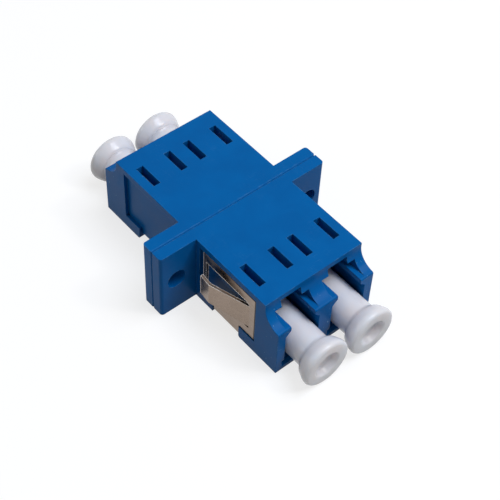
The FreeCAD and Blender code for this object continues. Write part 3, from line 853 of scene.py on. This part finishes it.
@dataclass
class DustCap:
    """One dust cap: a barrel in the port, and a head with a dish to pull it by."""

    half: Half
    lane: Lane
    tree: bpy.types.NodeTree
    finish: bpy.types.Material
    slot: str
    barrel_radius: float = 2.03 * MM
    bore_radius: float = 1.53 * MM
    bore_depth: float = 3.4 * MM
    head_thickness: float = 1.95 * MM
    dish_radius: float = 1.55 * MM
    dish_floor_radius: float = 1.15 * MM
    dish_depth: float = 0.75 * MM
    dome_radius: float = 2.5 * MM
    dome_start: float = 0.3 * MM
    shoulder: float = 1.3 * MM
    dome_rounding: float = 0.9 * MM
    back_rounding: float = 1.2 * MM
    rim_rounding: float = 0.36 * MM
    neck_rounding: float = 0.5 * MM
    dish_rounding: float = 0.25 * MM
    floor_rounding: float = 0.3 * MM
    end_rounding: float = 0.15 * MM
    crease: float = 0.03 * MM

    @property
    def node(self) -> str:
        """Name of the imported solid."""
        return f"dust_cap_{self.half.value}_{self.lane.value}"

    def sizes(self) -> dict[str, float]:
        """Work out the tree's inputs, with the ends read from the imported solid.

        Returns:
            The sizes by the names of the tree's inputs.
        """
        low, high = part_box(self.node)
        near, far = sorted((abs(low.y), abs(high.y)))
        return {
            "Barrel End": near,
            "Face": far,
            "Neck": far - self.head_thickness,
            "Dome Start": far - self.head_thickness + self.dome_start,
            "Shoulder": far - self.head_thickness + self.shoulder,
            "Dome Radius": self.dome_radius,
            "Dome Rounding": self.dome_rounding,
            "Head Radius": (high.x - low.x) / 2.0,
            "Barrel Radius": self.barrel_radius,
            "Bore Radius": self.bore_radius,
            "Bore End": near + self.bore_depth,
            "Dish Radius": self.dish_radius,
            "Dish Floor Radius": self.dish_floor_radius,
            "Dish Floor": far - self.dish_depth,
            "Back Rounding": self.back_rounding,
            "Rim Rounding": self.rim_rounding,
            "Neck Rounding": self.neck_rounding,
            "Dish Rounding": self.dish_rounding,
            "Floor Rounding": self.floor_rounding,
            "End Rounding": self.end_rounding,
            "Crease": self.crease,
        }

    def build(self) -> bpy.types.Object:
        """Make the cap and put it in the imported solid's place.

        Returns:
            The finished cap.
        """
        low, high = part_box(self.node)
        values: dict[str, object] = dict(self.sizes())
        values["Axis Place"] = ((low.x + high.x) / 2.0, 0.0, (low.z + high.z) / 2.0)
        values["Half Turn"] = math.pi if self.half is Half.FRONT else 0.0
        values["Finish"] = self.finish
        name = self.node + "_turned"
        mesh = grow(name, bpy.data.meshes.new(name + "_start"), self.tree, values)
        return place_piece(mesh, name, f"cap_{self.half.value}_{self.lane.value}", self.slot,
                           self.node)


def face_outwards(mesh: bpy.types.Mesh) -> None:
    """Turn every face of a closed mesh outwards.

    Args:
        mesh: The mesh, changed in place.
    """
    shape = bmesh.new()
    shape.from_mesh(mesh)
    bmesh.ops.recalc_face_normals(shape, faces=shape.faces)
    if shape.calc_volume(signed=True) < 0.0:
        bmesh.ops.reverse_faces(shape, faces=shape.faces)
    shape.to_mesh(mesh)
    shape.free()


@dataclass
class Housing:
    """The two moulded halves of the housing."""

    finish: bpy.types.Material
    slot: str

    def build(self) -> None:
        """Dress both halves."""
        for half in Half:
            dress_node(f"{half.value}_housing", self.finish)


@dataclass
class CutEdgeTree:
    """The geometry node tree that lays a fine rounded bead along sharp edges."""

    sides: int = 8

    def build(self) -> bpy.types.NodeTree:
        """Make the tree, with named inputs for the bead's radius, angle and limits.

        Returns:
            The tree: sharp edges, a tube along them, and its finish.
        """
        wires = Wiring(start_tree("cut_edge_bead", ["Bead Radius", "Sharp Angle", "Lowest",
                                                    "Highest", "Mouth End"]))
        ports = wires.add("NodeGroupInput").outputs
        angle = wires.add("GeometryNodeInputMeshEdgeAngle").outputs["Unsigned Angle"]
        sharp = wires.add("FunctionNodeCompare", {0: angle, 1: ports["Sharp Angle"]},
                          data_type="FLOAT", operation="GREATER_THAN")
        place = wires.add("ShaderNodeSeparateXYZ",
                          {0: wires.add("GeometryNodeInputPosition")}).outputs
        chosen = sharp
        for term, operation, limit in ((place["Z"], "LESS_THAN", "Highest"),
                                       (place["Z"], "GREATER_THAN", "Lowest"),
                                       (place["Y"], "GREATER_THAN", "Mouth End")):
            inside = wires.add("FunctionNodeCompare", {0: term, 1: ports[limit]},
                               data_type="FLOAT", operation=operation)
            chosen = wires.add("FunctionNodeBooleanMath", {0: chosen, 1: inside},
                               operation="AND")
        rails = wires.add("GeometryNodeMeshToCurve",
                          {"Mesh": ports["Geometry"], "Selection": chosen})
        ring = wires.add("GeometryNodeCurvePrimitiveCircle",
                         {"Resolution": self.sides, "Radius": ports["Bead Radius"]})
        tube = wires.add("GeometryNodeCurveToMesh", {"Curve": rails, "Profile Curve": ring,
                                                     "Fill Caps": True})
        return end_tree(wires, tube, ports["Finish"])


def grow(name: str, start: bpy.types.Mesh, tree: bpy.types.NodeTree,
         values: dict[str, object]) -> bpy.types.Mesh:
    """Run a geometry node tree on a mesh and keep the result as a plain mesh.

    Args:
        name: The new mesh's name.
        start: The mesh that the tree starts from.
        tree: The tree.
        values: Its inputs by name.

    Returns:
        The plain mesh, facing outwards.
    """
    seed = bpy.data.objects.new(name + "_seed", start)
    bpy.context.scene.collection.objects.link(seed)
    modifier = seed.modifiers.new(name, "NODES")
    modifier.node_group = tree
    for item in tree.interface.items_tree:
        if item.in_out == "INPUT" and item.name in values:
            modifier[item.identifier] = values[item.name]
    depsgraph = bpy.context.evaluated_depsgraph_get()
    mesh = bpy.data.meshes.new_from_object(seed.evaluated_get(depsgraph))
    mesh.name = name
    seed.modifiers.remove(modifier)
    bpy.data.objects.remove(seed)
    face_outwards(mesh)
    return mesh


@dataclass
class PanelClip:
    """The folded spring clip with its two tongues, and the bead of its cut edges."""

    finish: bpy.types.Material
    edge_finish: bpy.types.Material
    slot: str
    bead_radius: float = 0.024 * MM
    hidden_edge: float = 0.05 * MM
    # The bright bead, a painted edge highlight, goes only on cut edges above this height.
    highlight_bead_from: float = 3.75 * MM
    weld: float = 0.0005 * MM
    sharp_angle: float = math.radians(55.0)

    def build(self) -> None:
        """Dress the folded strip and lay the bead along its cut edges."""
        dress_node("panel_clip", self.finish)
        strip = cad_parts["panel_clip"].data.copy()
        shape = bmesh.new()
        shape.from_mesh(strip)
        bmesh.ops.remove_doubles(shape, verts=shape.verts, dist=self.weld)
        shape.to_mesh(strip)
        shape.free()
        bead = grow("panel_clip_cut_edges", strip, CutEdgeTree().build(), {
            "Bead Radius": self.bead_radius, "Sharp Angle": self.sharp_angle,
            "Lowest": self.highlight_bead_from,
            "Highest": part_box("panel_clip")[1].z - self.hidden_edge,
            "Mouth End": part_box("panel_clip")[0].y + self.hidden_edge,
            "Finish": self.edge_finish})
        place_piece(bead, "panel_clip_cut_edges", "adapter", self.slot)


@dataclass
class FerruleSleeves:
    """The two split sleeves that hold the ferrules in line."""

    finish: bpy.types.Material
    slot: str

    def build(self) -> None:
        """Dress both sleeves."""
        for lane in Lane:
            dress_node(f"sleeve_{lane.value}", self.finish)


@dataclass(frozen=True)
class SoftPanel:
    """One soft square lamp that looks at the part.

    Its level is how strongly it lights a surface that faces it, whatever its distance.
    """

    name: str
    place: tuple[float, float, float]
    size: float
    level: float
    colour: Colour

    def build(self) -> None:
        """Make the lamp."""
        place = Vector(self.place)
        light = bpy.data.lights.new(self.name, "AREA")
        light.shape, light.size = "SQUARE", self.size
        light.color = linear(self.colour)[:3]
        light.energy = self.level * math.pi**2 * place.length_squared
        lamp = bpy.data.objects.new(self.name, light)
        lamp.location = place
        lamp.rotation_mode = "QUATERNION"
        lamp.rotation_quaternion = place.to_track_quat("Z", "Y")
        bpy.context.scene.collection.objects.link(lamp)


@dataclass(frozen=True)
class Studio:
    """White floor, soft light from above and a pale room."""

    panels: tuple[SoftPanel, ...] = (
        SoftPanel("key_panel", (0.12, -0.1, 0.4), 0.24, 0.7, (232, 240, 255)),
        SoftPanel("rim_panel", (-0.32, 0.24, 0.2), 0.1, 0.06, (255, 250, 246)),
        SoftPanel("lip_panel", (0.2, -0.22, 0.36), 0.06, 0.16, (255, 246, 232)),
    )
    floor_colour: float = 0.3
    floor_white: float = 1.04
    fade_start: float = 50.0 * MM
    fade_end: float = 200.0 * MM
    floor_size: float = 800.0 * MM
    floor_drop: float = 0.03 * MM
    room_level: float = 0.26
    room_colour: Colour = (252, 252, 244)

    def build(self) -> None:
        """Make the floor, the lights and the world."""
        self.floor()
        for panel in self.panels:
            panel.build()
        self.world()
        bpy.context.scene.view_settings.view_transform = "Standard"

    def floor(self) -> None:
        """Make the floor, white to the camera and in reflections, with the part's shadow."""
        shape = bmesh.new()
        bmesh.ops.create_grid(shape, x_segments=1, y_segments=1, size=self.floor_size)
        mesh = bpy.data.meshes.new("studio_floor")
        shape.to_mesh(mesh)
        shape.free()
        mesh.transform(Matrix.Translation((0.0, 0.0, -self.floor_drop)))
        floor = bpy.data.objects.new("studio_floor", mesh)
        bpy.context.scene.collection.objects.link(floor)
        material = bpy.data.materials.new("white_floor")
        material.use_nodes = True
        material.node_tree.nodes.clear()
        wires = Wiring(material.node_tree)
        seen = self.seen_rays(wires)
        place = wires.add("ShaderNodeTexCoord").outputs["Object"]
        away = wires.add("ShaderNodeVectorMath", {0: place}, operation="LENGTH").outputs["Value"]
        fade = wires.remap(away, self.fade_start, self.fade_end, 0.0, 1.0)
        far = wires.maths("MULTIPLY", seen, fade)
        grey = (self.floor_colour, self.floor_colour, self.floor_colour, 1.0)
        matte = wires.add("ShaderNodeBsdfDiffuse",
                          {"Color": wires.tint(far, grey, BLACK)})
        white = wires.remap(far, 0.0, 1.0, self.floor_white - self.floor_colour, 1.0)
        lift = wires.maths("MULTIPLY", seen, white)
        glow = wires.add("ShaderNodeEmission", {"Color": WHITE, "Strength": lift})
        above = wires.add("ShaderNodeAddShader", {0: matte, 1: glow})
        clear = wires.add("ShaderNodeBsdfTransparent")
        below = wires.add("ShaderNodeNewGeometry").outputs["Backfacing"]
        surface = wires.add("ShaderNodeMixShader", {0: below, 1: above, 2: clear})
        wires.add("ShaderNodeOutputMaterial", {"Surface": surface})
        mesh.materials.append(material)

    @staticmethod
    def seen_rays(wires: Wiring) -> bpy.types.NodeSocket:
        """Find what the camera sees itself, in a reflection or through glass.

        Args:
            wires: The material's or the world's wiring.

        Returns:
            A mask that is 1 for those rays and 0 for the rest of the light.
        """
        rays = wires.add("ShaderNodeLightPath").outputs
        seen = wires.maths("MAXIMUM", rays["Is Camera Ray"], rays["Is Glossy Ray"])
        return wires.maths("MAXIMUM", seen, rays["Is Transmission Ray"])

    def world(self) -> None:
        """Make the room: even light, and white where the camera sees past the floor."""
        world = bpy.data.worlds.new("pale_room")
        world.use_nodes = True
        world.node_tree.nodes.clear()
        wires = Wiring(world.node_tree)
        seen = self.seen_rays(wires)
        level = wires.remap(seen, 0.0, 1.0, self.room_level, 1.0)
        colour = wires.tint(seen, linear(self.room_colour), WHITE)
        sky = wires.add("ShaderNodeBackground", {"Color": colour, "Strength": level})
        wires.add("ShaderNodeOutputWorld", {"Surface": sky})
        bpy.context.scene.world = world


@dataclass(frozen=True)
class Viewpoint:
    """Where the camera stands and how it is held.

    Angles are in degrees and lengths in metres, but the lens and sensor in millimetres.
    """

    azimuth: float = -42.415
    elevation: float = 50.214
    roll: float = 3.073
    distance: float = 0.13304
    shift_right: float = 0.0016193
    shift_up: float = -0.0021987
    aim_height: float = 0.00465
    lens: float = 89.66
    sensor: float = 36.0
    nearest: float = 0.01
    farthest: float = 10.0

    def build(self) -> bpy.types.Object:
        """Make the camera.

        Returns:
            The scene's camera.
        """
        turn, rise = math.radians(self.azimuth), math.radians(self.elevation)
        tilt = math.radians(self.roll)
        back = Vector((math.sin(turn) * math.cos(rise), -math.cos(turn) * math.cos(rise),
                       math.sin(rise)))
        level = Vector((math.cos(turn), math.sin(turn), 0.0))
        upright = back.cross(level)
        right = level * math.cos(tilt) + upright * math.sin(tilt)
        up = upright * math.cos(tilt) - level * math.sin(tilt)
        place = (right * self.shift_right + up * self.shift_up + back * self.distance
                 + Vector((0.0, 0.0, self.aim_height)))
        data = bpy.data.cameras.new("viewpoint")
        data.lens, data.sensor_width = self.lens, self.sensor
        data.clip_start, data.clip_end = self.nearest, self.farthest
        camera = bpy.data.objects.new("viewpoint", data)
        camera.matrix_world = Matrix((
            (right.x, up.x, back.x, place.x),
            (right.y, up.y, back.y, place.y),
            (right.z, up.z, back.z, place.z),
            (0.0, 0.0, 0.0, 1.0)))
        bpy.context.scene.collection.objects.link(camera)
        bpy.context.scene.camera = camera
        return camera


def main() -> None:
    """Build the finishes, the pieces, the studio and the camera."""
    logging.basicConfig(level=logging.INFO, format="%(message)s")
    effects = SurfaceEffects.build()
    plastic, steel = HousingPlastic(effects), SpringSteel(effects)
    ceramic, milky = ZirconiaCeramic(effects), CapPlastic(effects)
    Housing(plastic.material(), plastic.slot).build()
    PanelClip(steel.material(), ShearedSteel(effects).material(), steel.slot).build()
    FerruleSleeves(ceramic.material(), ceramic.slot).build()
    tree, cap_finish = CapTurning().build(), milky.material()
    for half in Half:
        for lane in Lane:
            DustCap(half, lane, tree, cap_finish, milky.slot).build()
    Studio().build()
    Viewpoint().build()


if __name__ == "__main__":
    main()
